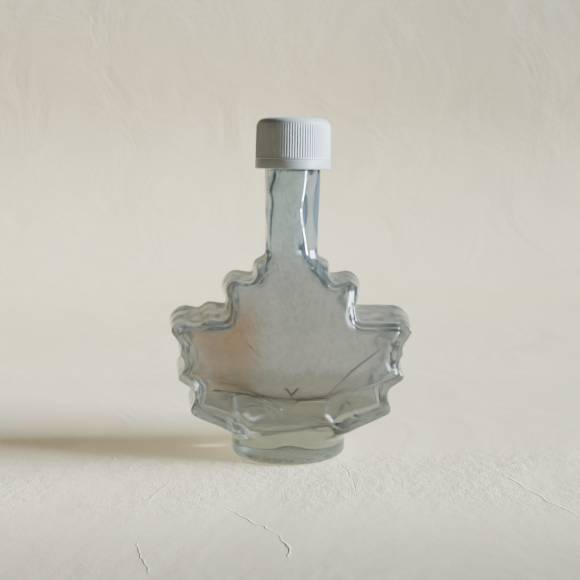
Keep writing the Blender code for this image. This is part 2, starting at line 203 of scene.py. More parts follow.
# ---- stage ----
FLOOR_DROP = 0.05
STAGE_LEFT, STAGE_RIGHT, STAGE_FRONT = -800.0, 420.0, -700.0
DIM_LEFT = (-118.0, -420.0)   # painted shade: the floor gets dark beyond these, so that it sends back less light; the left one slants by DIM_SLANT
DIM_FRONT = (-95.0, -430.0)
DIM_SLANT = 0.36
WALL_START, WALL_BEND, WALL_TOP = 300.0, 160.0, 700.0
CAMERA_PLACE = (-14.5, -233.1, 96.1)
CAMERA_YAW, CAMERA_PITCH, CAMERA_ROLL = (math.radians(angle) for angle in (3.5, -9.85, 0.95))
CAMERA_LENS, SENSOR = 44.69, 36.0
WINDOW_AIM = (0.0, 0.0, 50.0)
EDGE_LIGHT_WIDTH = 0.24
EDGE_LIGHT_ELEVATION = math.radians(4.0)
GATHERED_LIGHT = (-27.0, 4.6, 0.0)      # middle of the bright patch that the foot throws on the floor
GATHERED_REACH = (8.0, 2.3, 50.0)
# trowel marks: height or minus depth, half width, and (x, y) points from the back to the front
FURROWS = [
    (0.35, 0.7, [(100.0, -3.8), (83.0, -8.6), (72.4, -14.2), (66.7, -18.0), (67.6, -21.1), (70.3, -28.4),
                 (73.3, -36.7), (79.4, -49.9)]),
    (-0.30, 0.35, [(16.4, -11.4), (18.1, -22.9), (18.5, -34.7)]),
    (0.20, 0.40, [(-37.1, -23.1), (-43.3, -37.6)]),
    (0.30, 0.60, [(-22.3, -40.0), (-17.4, -44.4), (-13.7, -49.1), (-7.9, -54.7), (-3.8, -62.6),
                  (-3.4, -69.7)]),
    (0.20, 0.50, [(-42.9, -58.9), (-36.9, -75.2)]),
]


# ======== settings ========

def from_hex(text):
    """An sRGB hex colour as linear red, green and blue."""
    shares = [int(text[i:i + 2], 16) / 255.0 for i in (0, 2, 4)]
    return [s / 12.92 if s <= 0.04045 else ((s + 0.055) / 1.055) ** 2.4 for s in shares]


COLOUR = {"subtype": "COLOR", "size": 3, "min": 0.0, "max": 1.0}
POWER = {"min": 0.0, "max": 20000.0}


class GlassSettings(bpy.types.PropertyGroup):
    """Sizes and colours of the glass."""

    # painted shade: the tint's grey is deepened past the glass's faint grey-green, for the dark
    # surroundings seen through it
    tint: FloatVectorProperty(
        name="Glass tint", description="Colour that light takes at each surface of the glass",
        default=from_hex("999c9a"), **COLOUR)
    # painted shade: the colour of the dark lines in the crease, the grooves and along the parting line
    painted_shade_lines: FloatVectorProperty(
        name="Residue", description="Colour of the dirt that sits in the crease and in the grooves",
        default=from_hex("2b2722"), **COLOUR)
    film: FloatVectorProperty(
        name="Film tint", description="Colour of the dull film on the inside of the leaf",
        default=from_hex("ecedfb"), **COLOUR)
    # painted shadow: the bottle's brown shadow, as if seen through the glass at the left of the film
    painted_shadow: FloatVectorProperty(
        name="Stain tint", description="Colour of the dried syrup at the left of the film",
        default=from_hex("d2a880"), **COLOUR)
    film_roughness: FloatProperty(
        name="Film dullness", description="How much the film blurs what is behind the glass",
        min=0.0, max=1.0, default=0.22)
    relief: FloatProperty(
        name="Relief", description="Strength of the veins and of the fork on the front face",
        min=0.0, max=3.0, default=1.0)
    waves: FloatProperty(
        name="Waves", description="Strength of the unevenness of the glass",
        min=0.0, max=4.0, default=1.0)


class CapSettings(bpy.types.PropertyGroup):
    """Sizes and colours of the cap."""

    rib_count: IntProperty(
        name="Ribs", description="Number of upright ribs round the cap", min=24, max=160, default=92)
    rib_depth: FloatProperty(
        name="Rib depth", description="How deep the grooves between the ribs are",
        unit="LENGTH", min=0.0, max=0.001, default=0.0002)
    colour: FloatVectorProperty(
        name="Plastic", description="Colour of the cap", default=from_hex("c4c5c7"), **COLOUR)


class StageSettings(bpy.types.PropertyGroup):
    """The floor, the wall and the light."""

    floor: FloatVectorProperty(
        name="Floor", description="Colour of the floor", default=from_hex("f1d8b1"), **COLOUR)
    wall: FloatVectorProperty(
        name="Wall", description="Colour of the wall", default=from_hex("fadfb1"), **COLOUR)
    window_power: FloatProperty(
        name="Window", description="Power of the large window light, in watts", default=5100.0, **POWER)
    window_azimuth: FloatProperty(
        name="Window azimuth", description="Where the window stands, from the front towards the right",
        subtype="ANGLE", default=math.radians(82))
    window_elevation: FloatProperty(
        name="Window height", description="How high the window stands above the floor",
        subtype="ANGLE", default=math.radians(21.5))
    window_distance: FloatProperty(
        name="Window distance", description="How far off the window is",
        unit="LENGTH", min=0.1, default=9.0)
    window_width: FloatProperty(
        name="Window width", description="Width of the window pane",
        unit="LENGTH", min=0.01, default=4.0)
    window_height: FloatProperty(
        name="Window pane height", description="Height of the window pane",
        unit="LENGTH", min=0.01, default=4.3)
    edge_azimuth: FloatProperty(
        name="Glint azimuth", description="Where the bright edge of the window stands",
        subtype="ANGLE", default=math.radians(56))
    edge_power: FloatProperty(
        name="Glint", description="Power of the bright edge of the window, in watts",
        default=4200.0, **POWER)
    window_colour: FloatVectorProperty(
        name="Daylight", description="Colour of the light from the window",
        default=from_hex("d8eeff"), **COLOUR)
    gathered: FloatProperty(
        name="Gathered light", description="How much brighter the patch of light beside the foot is",
        min=1.0, max=4.0, default=1.65)
    room: FloatVectorProperty(
        name="Room", description="Colour and brightness of the light that the room sends back",
        default=from_hex("393026"), **COLOUR)


# ======== shape tools ========

def smooth_step(value, low, high):
    """0 below low, 1 above high, and between them the S 6t^5 - 15t^4 + 10t^3, which bends gently."""
    t = np.clip((value - low) / (high - low), 0.0, 1.0)
    return t * t * t * (10.0 - 15.0 * t + 6.0 * t * t)


def plateau(value, low, high, end, gone):
    """0 below low and above gone, 1 from high to end, with a soft step at either side."""
    return smooth_step(value, low, high) * (1.0 - smooth_step(value, end, gone))


def blend(low, high, share):
    """low at share 0 and high at share 1."""
    return low + (high - low) * share


def waves(points, table):
    """A sum of slanted sine waves in space, each 0.7 times as high as the one before."""
    total = np.zeros(len(points))
    for order, (*lengths, phase) in enumerate(table):
        total += 0.7 ** order * np.sin(2.0 * math.pi * (points / lengths).sum(1) + phase)
    return 0.5 * total


def rounded_line(corners, ends):
    """A line through the corners, each turned into the arc that touches both of its sides."""
    apexes = [np.array(p[:2], float) for p in [ends[0]] + corners + [ends[1]]]
    points = [apexes[0]]
    for before, apex, after, corner in zip(apexes[:-2], apexes[1:-1], apexes[2:], corners):
        back, ahead = before - apex, after - apex
        reach = 0.49 * min(np.linalg.norm(back), np.linalg.norm(ahead))
        back, ahead = back / np.linalg.norm(back), ahead / np.linalg.norm(ahead)
        half = 0.5 * math.acos(max(-1.0, min(1.0, float(back @ ahead))))
        tangent = min(corner[2] / math.tan(half), reach)
        radius = tangent * math.tan(half)
        centre = apex + (back + ahead) / np.linalg.norm(back + ahead) * radius / math.sin(half)
        arm = apex + back * tangent - centre
        sweep = math.copysign(math.pi - 2.0 * half, arm[1] * back[0] - arm[0] * back[1])
        for angle in np.linspace(0.0, sweep, 2 + int(abs(sweep) * radius / ARC_STEP)):
            c, s = math.cos(angle), math.sin(angle)
            points.append(centre + (c * arm[0] - s * arm[1], s * arm[0] + c * arm[1]))
    points.append(apexes[-1])
    return np.array(points)


def even_steps(line, step):
    """The line again, with its points evenly spaced along its length."""
    length = np.r_[0.0, np.cumsum(np.linalg.norm(np.diff(line, axis=0), axis=1))]
    at = np.linspace(0.0, length[-1], 1 + round(length[-1] / step))
    return np.column_stack([np.interp(at, length, line[:, 0]), np.interp(at, length, line[:, 1])])


def softened(values, spread):
    """A row of values or points, each the bell-weighted mean of its neighbours; the ends stay."""
    reach = int(math.ceil(3.0 * spread))
    weights = np.exp(-0.5 * (np.arange(-reach, reach + 1) / spread) ** 2)
    weights /= weights.sum()
    before = 2.0 * values[0] - values[reach:0:-1]
    after = 2.0 * values[-1] - values[-2:-reach - 2:-1]
    padded = np.concatenate([before, values, after])
    columns = padded.reshape(len(padded), -1).T
    mixed = np.array([np.convolve(column, weights, "valid") for column in columns]).T
    return mixed.reshape(values.shape)


def distance_to(line, points):
    """How far each point is from a line of straight pieces."""
    start, along = line[:-1], np.diff(line, axis=0)
    square = (along ** 2).sum(1) + 1e-12
    found = []
    for some in np.array_split(points.reshape(-1, 2), CHUNKS):
        offset = some[:, None, :] - start[None]
        share = np.clip((offset * along).sum(2) / square, 0.0, 1.0)
        found.append(np.sqrt(((offset - share[..., None] * along) ** 2).sum(2).min(1)))
    return np.concatenate(found).reshape(points.shape[:-1])


def bell(line, points, half_width):
    """1 on the line, and less with the square of the distance to it, as exp(-(distance / width)^2)."""
    return np.exp(-(distance_to(np.array(line), points) / half_width) ** 2)


def arc(centre, radius, start, end, steps=8):
    """(radius, z) points round part of a circle, with the angles in degrees from +X towards +Z."""
    angles = np.radians(np.linspace(start, end, steps + 1))
    return [(centre[0] + radius * math.cos(a), centre[1] + radius * math.sin(a)) for a in angles]


# ======== the glass ========

def skin_section(z):
    """Half depth at height z, and the width and depth of the rounded edge, all blended along soft
    steps.  The edge grows into the whole round neck above and into the whole oval foot below."""
    top, foot = smooth_step(z, *EDGE_FADE_TOP_Z), 1.0 - smooth_step(z, *EDGE_FADE_FOOT_Z)
    depth = blend(FOOT_HALF_DEPTH, LEAF_HALF_DEPTH, smooth_step(z, *HAUNCH_Z))
    for reach in (SHOULDER_Z, NECK_JOIN_Z):
        depth = blend(depth, NECK_RADIUS, smooth_step(z, *reach))
    edge = blend(EDGE_ROUND, NECK_RADIUS, top)
    return depth, blend(edge, FOOT_HALF_WIDTH, foot), blend(edge, FOOT_HALF_DEPTH, foot)


def cavity_section(z):
    """The same three sizes for the cavity: a wall thinner, rounder at its floor, and then the bore."""
    top, floor = smooth_step(z, *EDGE_FADE_TOP_Z), 1.0 - smooth_step(z, *FLOOR_EDGE_Z)
    edge = blend(CAVITY_ROUND, BORE_RADIUS, top) + (FLOOR_EDGE_ROUND - CAVITY_ROUND) * floor
    wall = blend(FACE_WALL, NECK_RADIUS - BORE_RADIUS, top)
    return skin_section(z)[0] - wall, edge, edge


def wall_slopes(line):
    """The draft at every point of a side's outline, by how much the wall faces up there."""
    run = np.gradient(np.abs(line[:, 0])), np.gradient(line[:, 1])
    faces_up = np.clip(run[0] / np.hypot(*run), 0.0, 1.0)
    return softened(blend(SIDE_SLOPE, TOP_SLOPE, faces_up), SLOPE_SOFTNESS)


def leaf_rows(ends, line, section, slope, rows):
    """Rows of (x, depth, z, inset past the edge) for rays that end on the line.

    The first rows climb the side wall from the parting plane, the next turn over the edge as a
    quarter ellipse, a few cross the slope of the panel, and the last run in to the middle.  How
    far in a row lies is its true distance from the line, looked up along each ray.
    """
    centre = np.array([0.0, CENTRE_Z])
    reach = np.linalg.norm(ends - centre, axis=1)
    heading = (ends - centre) / reach[:, None]
    steps = np.arange(0.0, SCAN_SHARE * reach.min(), SCAN_STEP)
    spots = centre + heading[:, None, :] * (reach[:, None] - steps)[..., None]
    gaps = distance_to(line, spots)
    gaps[:, 0] = 0.0
    gaps = np.maximum.accumulate(gaps, axis=1) + np.arange(len(steps)) * 1e-6
    ray = np.arange(len(ends))

    def inward(inset):
        """How far along its ray each inset lies."""
        after = np.clip((gaps < inset[:, None]).sum(1), 1, len(steps) - 1)
        low, high = gaps[ray, after - 1], gaps[ray, after]
        return SCAN_STEP * (after - 1 + np.clip((inset - low) / (high - low), 0.0, 1.0))

    def row(wall, angle, past):
        """wall: share of the side wall; angle: turn over the edge; past: distance beyond the edge."""
        spot = ends
        spread = WALL_SOFTNESS + EDGE_SOFTNESS * (1.0 - math.cos(angle)) + past
        for _ in range(SETTLE_PASSES):
            depth, edge_width, edge_depth = section(spot[:, 1])
            flat = np.maximum(depth - edge_depth, 0.0)
            inset = slope * flat * wall + edge_width * (1.0 - math.cos(angle)) + past
            moved = inward(inset)
            if wall:
                moved = softened(moved, spread)
            spot = 0.5 * spot + 0.5 * (centre + heading * (reach - moved)[:, None])
        depth = flat * wall + edge_depth * math.sin(angle)
        return np.column_stack([spot[:, 0], depth, spot[:, 1], np.full(len(ends), past)])

    made = [row(share, 0.0, 0.0) for share in np.linspace(0.0, 1.0, rows["wall"], endpoint=False)]
    made += [row(1.0, angle, 0.0) for angle in np.linspace(0.0, 0.5 * math.pi, rows["edge"] + 1)]
    made += [row(1.0, 0.5 * math.pi, past)
             for past in np.linspace(0.0, PANEL_EDGE, rows["step"] + 1)[1:]]
    rim = made[-1][:, [0, 2]]
    for share in np.linspace(1.0, 0.0, rows["face"] + 1)[1:] ** CENTRE_CROWDING:
        spot = blend(centre, rim, share)
        past = np.full(len(ends), PANEL_EDGE)
        made.append(np.column_stack([spot[:, 0], section(spot[:, 1])[0], spot[:, 1], past]))
    return np.array(made)


def oval_rows(corner, other_corner, half_width, half_depth, z, line, section):
    """Rows for the rays that leave the leaf through its neck or its foot, between two corner rays.

    Depth is the quarter ellipse of the edge at each point's true distance from the line.
    """
    centre = np.array([0.0, CENTRE_Z])
    turn = np.linspace(0.0, math.pi, OVAL_RAYS + 2)
    ends = np.column_stack([half_width * np.cos(turn), np.full(len(turn), z)])
    share_in = (corner[:, 2] - CENTRE_Z) / (corner[0, 2] - CENTRE_Z)
    spots = blend(centre, ends[None], share_in[:, None, None])
    depth, edge_width, edge_depth = section(spots[..., 1])
    gap = distance_to(line, spots)
    inset = np.clip(gap, 0.0, edge_width)
    bend = np.sqrt(1.0 - ((edge_width - inset) / edge_width) ** 2)
    past = np.clip(gap - edge_width, 0.0, PANEL_EDGE)
    made = np.stack([spots[..., 0], depth - edge_depth + edge_depth * bend, spots[..., 1], past], -1)
    made[0, :, 1] = half_depth * np.sin(turn)
    made[:, 0], made[:, -1] = corner, other_corner
    return made


def ring(half_width, half_depth, z):
    """A closed oval ring: across the front from right to left, and back behind."""
    front = np.linspace(0.0, math.pi, OVAL_RAYS + 2)
    angles = np.r_[front, front[1:-1] + math.pi]
    height = np.full(len(angles), z)
    return np.column_stack([half_width * np.cos(angles), -half_depth * np.sin(angles), height])


def round_rings(pairs):
    """Round rings, one for every (radius, z)."""
    return np.array([ring(radius, radius, z) for radius, z in pairs])


def side_line(side):
    """The outline of one side of the leaf, from the neck down to the foot, slightly softened."""
    corners = list(HALF_OUTLINE)
    if side < 0:
        corners[GREAT_LOBE:GREAT_LOBE] = HUMP_AND_DIP
    line = rounded_line(corners, [(NECK_RADIUS, NECK_Z), (FOOT_HALF_WIDTH, FOOT_Z)])
    line = softened(even_steps(line, OUTLINE_STEP), OUTLINE_SOFTNESS / OUTLINE_STEP)
    return line * np.array([side, 1.0])


def with_open_ends(line, above, below):
    """The line run on straight up and down, so that its ends count as no edge."""
    return np.vstack([line[0] + (0.0, above), line, line[-1] - (0.0, below)])


def raised_face(rows, relief):
    """How far the front stands out: the panel's S-shaped rise inside its rim and above the crease,
    plus, times the relief, a bell-shaped ridge or groove along every mark."""
    x, z, past = rows[..., 0], rows[..., 2], rows[..., 3]
    inside = smooth_step(past, 0.0, PANEL_EDGE)
    above = smooth_step(z - np.interp(x, *np.transpose(CREASE)), -CREASE_SLOPE, CREASE_SLOPE)
    proud = PANEL_RISE * inside * above
    spots = np.stack([x, z], -1)
    for line, height, half_width in MARKS:
        proud = proud + relief * height * bell(line, spots, half_width) * inside
    return proud


def skin_sheets(settings):
    """The outside of the leaf and foot, as sheets of points."""
    lines = side_line(1), side_line(-1)
    longer = [with_open_ends(line, OPEN_END, OPEN_END) for line in lines]
    around = np.vstack([longer[0], longer[1][::-1]])
    ends = ((0, NECK_RADIUS, NECK_RADIUS, NECK_Z), (-1, FOOT_HALF_WIDTH, FOOT_HALF_DEPTH, FOOT_Z))
    sheets = []
    for side, rows in ((-1.0, FRONT_ROWS), (1.0, BACK_ROWS)):
        patches = [leaf_rows(line, run_on, skin_section, wall_slopes(line), rows)
                   for line, run_on in zip(lines, longer)]
        for corner, *oval in ends:
            first, last = (patch[:, corner] for patch in patches[:2])
            patches.append(oval_rows(first, last, *oval, around, skin_section))
        for patch in patches:
            inside = smooth_step(patch[..., 3], 0.0, PANEL_EDGE)
            if side < 0:
                patch[..., 1] += raised_face(patch, settings.relief)
            else:
                patch[..., 1] += PANEL_RISE * inside * smooth_step(patch[..., 2], *BACK_PANEL_Z)
            sheets.append((patch[..., :3] * (1.0, side, 1.0), False, OUTSIDE))
    turn = arc((0.0, FOOT_ROUND), FOOT_ROUND, 0, -90)
    foot = [(FOOT_Z, 0.0)] + [(z, FOOT_ROUND - run) for run, z in turn]
    foot += [(0.0, FOOT_ROUND + 0.5 * STAND_WIDTH), (0.0, FOOT_ROUND + STAND_WIDTH)]
    foot += [(PUSH_UP * smooth_step(s, 0.0, 1.0), FOOT_ROUND + STAND_WIDTH + PUSH_UP_WIDTH * s)
             for s in (0.25, 0.5, 0.75, 1.0)]
    last = foot[-1][1]
    rings = [ring(FOOT_HALF_WIDTH - inset, FOOT_HALF_DEPTH - inset, z) for z, inset in foot]
    for share in PUSH_UP_RINGS:
        rings.append(ring((FOOT_HALF_WIDTH - last) * share, (FOOT_HALF_DEPTH - last) * share, PUSH_UP))
    turned = len(turn)
    for part, slot in ((rings[:turned], OUTSIDE), (rings[turned - 1:], UNDERSIDE)):
        sheets.append((np.array(part), True, slot))
    return sheets


def neck_sheets():
    """The neck's outside and lip, and the bore inside it."""
    outer = arc((FINISH_RADIUS - LIP_ROUND, LIP_Z - LIP_ROUND), LIP_ROUND, 0, 90)
    inner = arc((MOUTH_RADIUS + LIP_ROUND, LIP_Z - LIP_ROUND), LIP_ROUND, 90, 180)
    heights = np.linspace(NECK_Z, FINISH_Z, NECK_ROWS)
    radii = np.interp(heights, [NECK_STRAIGHT_Z, FINISH_Z], [NECK_RADIUS, FINISH_RADIUS])
    down = np.linspace(MOUTH_Z, NECK_Z, BORE_ROWS)
    bore_radii = np.interp(down, [NECK_Z, WAIST_Z, MOUTH_Z], [BORE_RADIUS, WAIST_RADIUS, MOUTH_RADIUS])
    lip = outer[-1:] + inner + [(MOUTH_RADIUS, MOUTH_Z)]
    outside = list(zip(radii, heights)) + outer
    profiles = ((outside, OUTSIDE), (lip, OUTSIDE), (zip(bore_radii, down), INSIDE))
    return [(round_rings(pairs), True, slot) for pairs, slot in profiles]


def cavity_sheets():
    """The inside of the leaf, closed at its floor and open to the bore."""
    half = rounded_line(CAVITY_OUTLINE, [(BORE_RADIUS, NECK_Z), (0.0, FLOOR_Z)])
    half = softened(even_steps(half, CAVITY_STEP), CAVITY_SOFTNESS / CAVITY_STEP)
    line = np.vstack([half, (half[:-1] * (-1.0, 1.0))[::-1]])
    around = with_open_ends(line, OPEN_END, -OPEN_END)
    rows = leaf_rows(line, around, cavity_section, CAVITY_SLOPE, CAVITY_ROWS)
    top = oval_rows(rows[:, 0], rows[:, -1], BORE_RADIUS, BORE_RADIUS, NECK_Z, around, cavity_section)
    return [(patch[..., :3] * (1.0, side, 1.0), False, INSIDE)
            for side in (-1.0, 1.0) for patch in (rows, top)]


def sheet_faces(shape, closed):
    """Corner numbers of the four-sided faces over a grid of rows; closed joins last column to first."""
    index = np.arange(shape[0] * shape[1]).reshape(shape[:2])
    if closed:
        index = np.column_stack([index, index[:, :1]])
    return np.stack([index[:-1, :-1], index[:-1, 1:], index[1:, 1:], index[1:, :-1]], -1).reshape(-1, 4)


def closed_mesh(name, sheets, materials):
    """Welds sheets of (points, closed, material number) into one mesh with its faces outwards."""
    points, faces, slots = [], [], []
    for grid, closed, slot in sheets:
        quads = sheet_faces(grid.shape, closed) + sum(map(len, points))
        points.append(grid.reshape(-1, 3))
        faces.append(quads)
        slots.append(np.full(len(quads), slot, np.int32))
    points, faces, slots = np.vstack(points) * MM, np.vstack(faces), np.concatenate(slots)
    data = bpy.data.meshes.new(name)
    data.from_pydata(points, [], faces)
    for material in materials:
        data.materials.append(material)
    data.polygons.foreach_set("material_index", slots)
    mesh = bmesh.new()
    mesh.from_mesh(data)
    bmesh.ops.remove_doubles(mesh, verts=mesh.verts, dist=WELD * MM)
    bmesh.ops.triangulate(mesh, faces=mesh.faces)
    bmesh.ops.recalc_face_normals(mesh, faces=mesh.faces)
    open_edges = sum(1 for edge in mesh.edges if not edge.is_manifold)
    mesh.to_mesh(data)
    mesh.free()
    if open_edges:
        raise RuntimeError(f"{name} has {open_edges} open edges")
    data.shade_smooth()
    return data


def vertex_arrays(data):
    """The mesh's points in millimetres, its unit normals, and which points the film may lie on."""
    count = len(data.vertices)
    points, normals = np.zeros(3 * count), np.zeros(3 * count)
    data.vertices.foreach_get("co", points)
    data.vertex_normals.foreach_get("vector", normals)
    slots, corners = np.zeros(len(data.polygons)), np.zeros(len(data.loops), int)
    data.polygons.foreach_get("material_index", slots)
    data.loops.foreach_get("vertex_index", corners)
    inner = np.zeros(count)
    np.maximum.at(inner, corners, np.repeat(slots == INSIDE, 3))
    return points.reshape(-1, 3) / MM, normals.reshape(-1, 3), inner > 0


def wave_surface(data, strength):
    """Moves every point along its normal by the waves there, more on the inside than on the outside."""
    points, normals, inner = vertex_arrays(data)
    z = points[:, 2]
    height = np.where(inner, CAVITY_WAVE, SKIN_WAVE) * smooth_step(z, *STILL_Z)
    height *= waves(points, WAVES) * (1.0 - smooth_step(z, *STILL_MOUTH_Z))
    height *= 1.0 - NECK_CALM * smooth_step(z, *FILM_FADE_Z)
    on_wall = smooth_step(1.0 - np.abs(normals[:, 1]), *RIPPLE_LEAN) * plateau(z, *RIPPLE_FADE_Z)
    height += np.where(inner, CAVITY_RIPPLE, RIPPLE) * on_wall * waves(points, RIPPLES)
    moved = points + strength * normals * height[:, None]
    sway = np.interp(z, NECK_SWAY_Z, NECK_SWAY) * smooth_step(-normals[:, 1], *SWAY_LEAN)
    moved[:, 0] += np.where(inner, BORE_LEAN * plateau(z, *LEAN_Z), sway)
    data.vertices.foreach_set("co", (moved * MM).ravel())
    data.update()


def add_marks(data):
    """Writes three shares at every point: painted shade, the dullness of the film inside, and side wall.

    The painted shade is a dark line, a bell over the distance to the crease, to each groove and to
    the parting plane, and the strongest counts.  The film is dull on the broad faces and clears
    towards the side walls and up the bore.
    """
    points, normals, inner = vertex_arrays(data)
    x, y, z = points.T
    spots = np.column_stack([x, z])
    # painted shade: a dark line along the crease, in the grooves and along the parting line
    dark_lines = bell(CREASE, spots, CREASE_SHADE_WIDTH)
    dark_lines *= 1.0 - CREASE_SHADE_LOSS * smooth_step(np.abs(x), *CREASE_SHADE_REACH)
    for line, height, half_width in MARKS:
        share = min(1.0, GROOVE_SHADE * max(0.0, -height))
        dark_lines = np.maximum(dark_lines, share * bell(line, spots, half_width))
    dark_lines *= y < -0.6 * LEAF_HALF_DEPTH     # the front face only
    dark_lines = np.maximum(dark_lines, SEAM_SHADE * np.exp(-(y / SEAM_WIDTH) ** 2) * plateau(z, *SEAM_Z))
    lean = np.abs(normals[:, 1])
    film = inner * smooth_step(lean, *FILM_LEAN) * (1.0 - smooth_step(z, *FILM_FADE_Z))
    walls = (1.0 - smooth_step(lean, *WALL_LEAN)) * plateau(z, *WALL_FOOT_Z, *FILM_FADE_Z)
    for name, value in (("painted_shade_lines", dark_lines), ("film", film), ("walls", walls)):
        data.attributes.new(name, "FLOAT", "POINT").data.foreach_set("value", value)


def add_object(name, data):
    """A new object in the scene."""
    made = bpy.data.objects.new(name, data)
    bpy.context.scene.collection.objects.link(made)
    return made


def place_piece(name, data, node):
    """Adds a finished piece, lets it ride on the body and hides the CAD node that it stands for."""
    piece = add_object(name, data)
    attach(piece, BODY)
    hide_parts(node)


# ======== the cap ========

def cap_radius(z):
    """Outer radius of the cap at height z: it tapers a little towards the top."""
    return blend(CAP_BASE_RADIUS, CAP_TOP_RADIUS, (z - CAP_BASE_Z) / (CAP_TOP_Z - CAP_BASE_Z))


def cap_profile():
    """(radius, z, share of the ribs) from the middle of the ceiling, down inside, and up outside."""
    bore = CAP_BASE_RADIUS - CAP_WALL - GAP
    ceiling = LIP_Z + GAP
    inside = [(0.0, ceiling), (0.5 * bore, ceiling), (bore - 0.6, ceiling), (bore, ceiling - 0.6)]
    inside += [(bore, 0.5 * (ceiling + CAP_BASE_Z)), (bore, CAP_BASE_Z + CAP_EDGE)]
    inside += arc((bore + CAP_EDGE, CAP_BASE_Z + CAP_EDGE), CAP_EDGE, 180, 270, 3)
    rim = arc((CAP_BASE_RADIUS - CAP_EDGE, CAP_BASE_Z + CAP_EDGE), CAP_EDGE, 270, 360, 4)
    slit = SLIT_Z + SLIT_HALF_WIDTH * np.array([-2.2, -1.0, -0.6, 0.6, 1.0, 2.2])
    cut = [0.0, 0.15, 1.0, 1.0, 0.15, 0.0]
    band = [(cap_radius(z) - SLIT_DEPTH * c, z) for z, c in zip(slit, cut)]
    plain = [(r, z, 0.0) for r, z in inside + rim + [(cap_radius(BAND_Z), BAND_Z)] + band]
    heights = [RIBS_Z[0] + rise for rise in (0.15, 0.5, 0.9)]
    heights += [100.5, 102.5, 104.5, 106.5, RIBS_Z[1] - 0.4]
    share = smooth_step(np.array(heights), RIBS_Z[0], RIBS_Z[0] + RIB_RUN_OUT)
    ribs = [(cap_radius(z), z, s) for z, s in zip(heights, share)]
    shoulder = arc((cap_radius(CAP_TOP_Z) - CAP_SHOULDER, CAP_TOP_Z - CAP_SHOULDER), CAP_SHOULDER, 0, 90)
    fading = [(r, z, float(1.0 - smooth_step(z, RIBS_Z[1], RIBS_Z[1] + RIB_FADE))) for r, z in shoulder]
    flat = (0.86 * (CAP_TOP_RADIUS - CAP_SHOULDER), 0.4 * CAP_TOP_RADIUS, 0.0)
    return np.array(plain + ribs + fading + [(r, CAP_TOP_Z, 0.0) for r in flat])


def cap_sheets(settings):
    """The profile turned about Z, less the rib depth times a rounded comb of grooves round it."""
    profile = cap_profile()
    count = settings.rib_count * SAMPLES_PER_RIB
    angle = 2.0 * math.pi * np.arange(count) / count
    groove = (0.5 - 0.5 * np.cos(settings.rib_count * angle)) ** 1.5
    radius = profile[:, :1] - profile[:, 2:] * settings.rib_depth / MM * groove
    z = np.broadcast_to(profile[:, 1:2], radius.shape)
    return [(np.stack([radius * np.cos(angle), radius * np.sin(angle), z], -1), True, 0)]


# ======== materials ========

# Places are in metres and noises in clouds to the metre.  A map of four numbers takes what lies
# between the first two to between the last two; one of two numbers takes it to between 0 and 1.
SMOOTH = {"interpolation_type": "SMOOTHSTEP"}
GLASS_IOR = 1.51
CLEARNESS = 0.86         # the rest is dust and fine wear, which scatters light from the surface
SHADOW_TINT = "b5afa5"   # what one surface of the glass leaves of the window's light
# the glass's grey tints are deepened as painted shade, for the dark surroundings seen through it
BASE_SHADE_TINT, BASE_SHADE_Z = "878c82", (0.015, 0.009)      # towards the base
NECK_SHADE_TINT, NECK_SHADE_Z = "a4b1b9", (0.058, 0.074)        # towards the neck
WEAR = (0.3, 0.7, 0.72, 1.24)
WALL_ROUGHNESS = (0.0, 1.0, 0.02, 0.10)
# painted shadow at the left of the film: where it lies, and how patchy it is
LEFT_SHADOW_X, LEFT_SHADOW_Z, LEFT_SHADOW_PATCHES = (-0.004, -0.017), (0.060, 0.040), (0.3, 0.7, 0.65, 1.2)
BOTTOM_TINT, LOW_LEFT_SHADOW, BOTTOM_Z = "aa9e8c", "877b6b", (0.0265, 0.0215)    # darker low in the cavity, and darker still there under the painted shadow at the left
SPECKS = (0.3, 0.7, 0.84, 1.12)
HAZE = (0.35, 0.65, 0.88, 1.06)
PALER_RIGHT_X = (0.0, 0.028, 1.0, 1.10)
BARE_TINT, BARE_ROUGHNESS = "e6eef3", 0.03          # the bore above the film
GRIME = (0.3, 0.75, 0.92, 1.03)
BAND_SHADE_Z = (0.0974, 0.0984, 0.88, 1.0)             # painted shade: the cap's band below the ribs is darker
SKIRTING_Y = (0.079, 0.095)                         # the wall's colour takes over from the floor's
TOP_WALL_TINT, TOP_WALL_Z = "ecdcb8", (0.13, 0.36)            # the wall turns a little darker and less yellow higher up
SAND_BACK_Y, SAND_FRONT_Y = (0.004, -0.012, 0.1, 1.0), (-0.055, -0.030, 0.22, 1.0)
SAND_PATCHES = (0.35, 0.62, 0.3, 1.0)
CLOUDS = (0.3, 0.7, 0.965, 1.035)
# painted shade: the floor and the wall get darker towards the right, and the floor towards the front
RIGHT_SHADE_X = (-0.050, 0.250, 1.0, 0.76)
FRONT_SHADE_Y = (-0.085, -0.030, 0.55, 1.0)
DIM_SHARE = 0.08
SAND_HEIGHT, LUMP_HEIGHT, TROWEL_HEIGHT = 0.00042, 0.0009, 0.0016
FURROW_WANDER = 0.0015   # to each side
FURROW_WORN = (0.38, 0.58, 0.25, 1.0)
FURROW_START, FURROW_END = (0.0, 0.08, 0.0, 1.0), (0.9, 1.0, 1.0, 0.0)


def add_node(tree, kind, sockets=(), **settings):
    """Adds a node with its settings and links.

    A socket, by order or by name, is given a value, a colour in hex, an output, or a node, which
    stands for its first output in use.
    """
    made = tree.nodes.new("ShaderNode" + kind)
    for name, value in settings.items():
        setattr(made, name, value)
    for name, value in sockets.items() if isinstance(sockets, dict) else enumerate(sockets):
        socket = made.inputs[name]
        if isinstance(value, bpy.types.Node):
            value = next(output for output in value.outputs if output.enabled)
        if isinstance(value, bpy.types.NodeSocket):
            tree.links.new(value, socket)
        elif socket.type == "RGBA":
            socket.default_value = (*(from_hex(value) if isinstance(value, str) else value), 1.0)
        else:
            socket.default_value = value
    return made


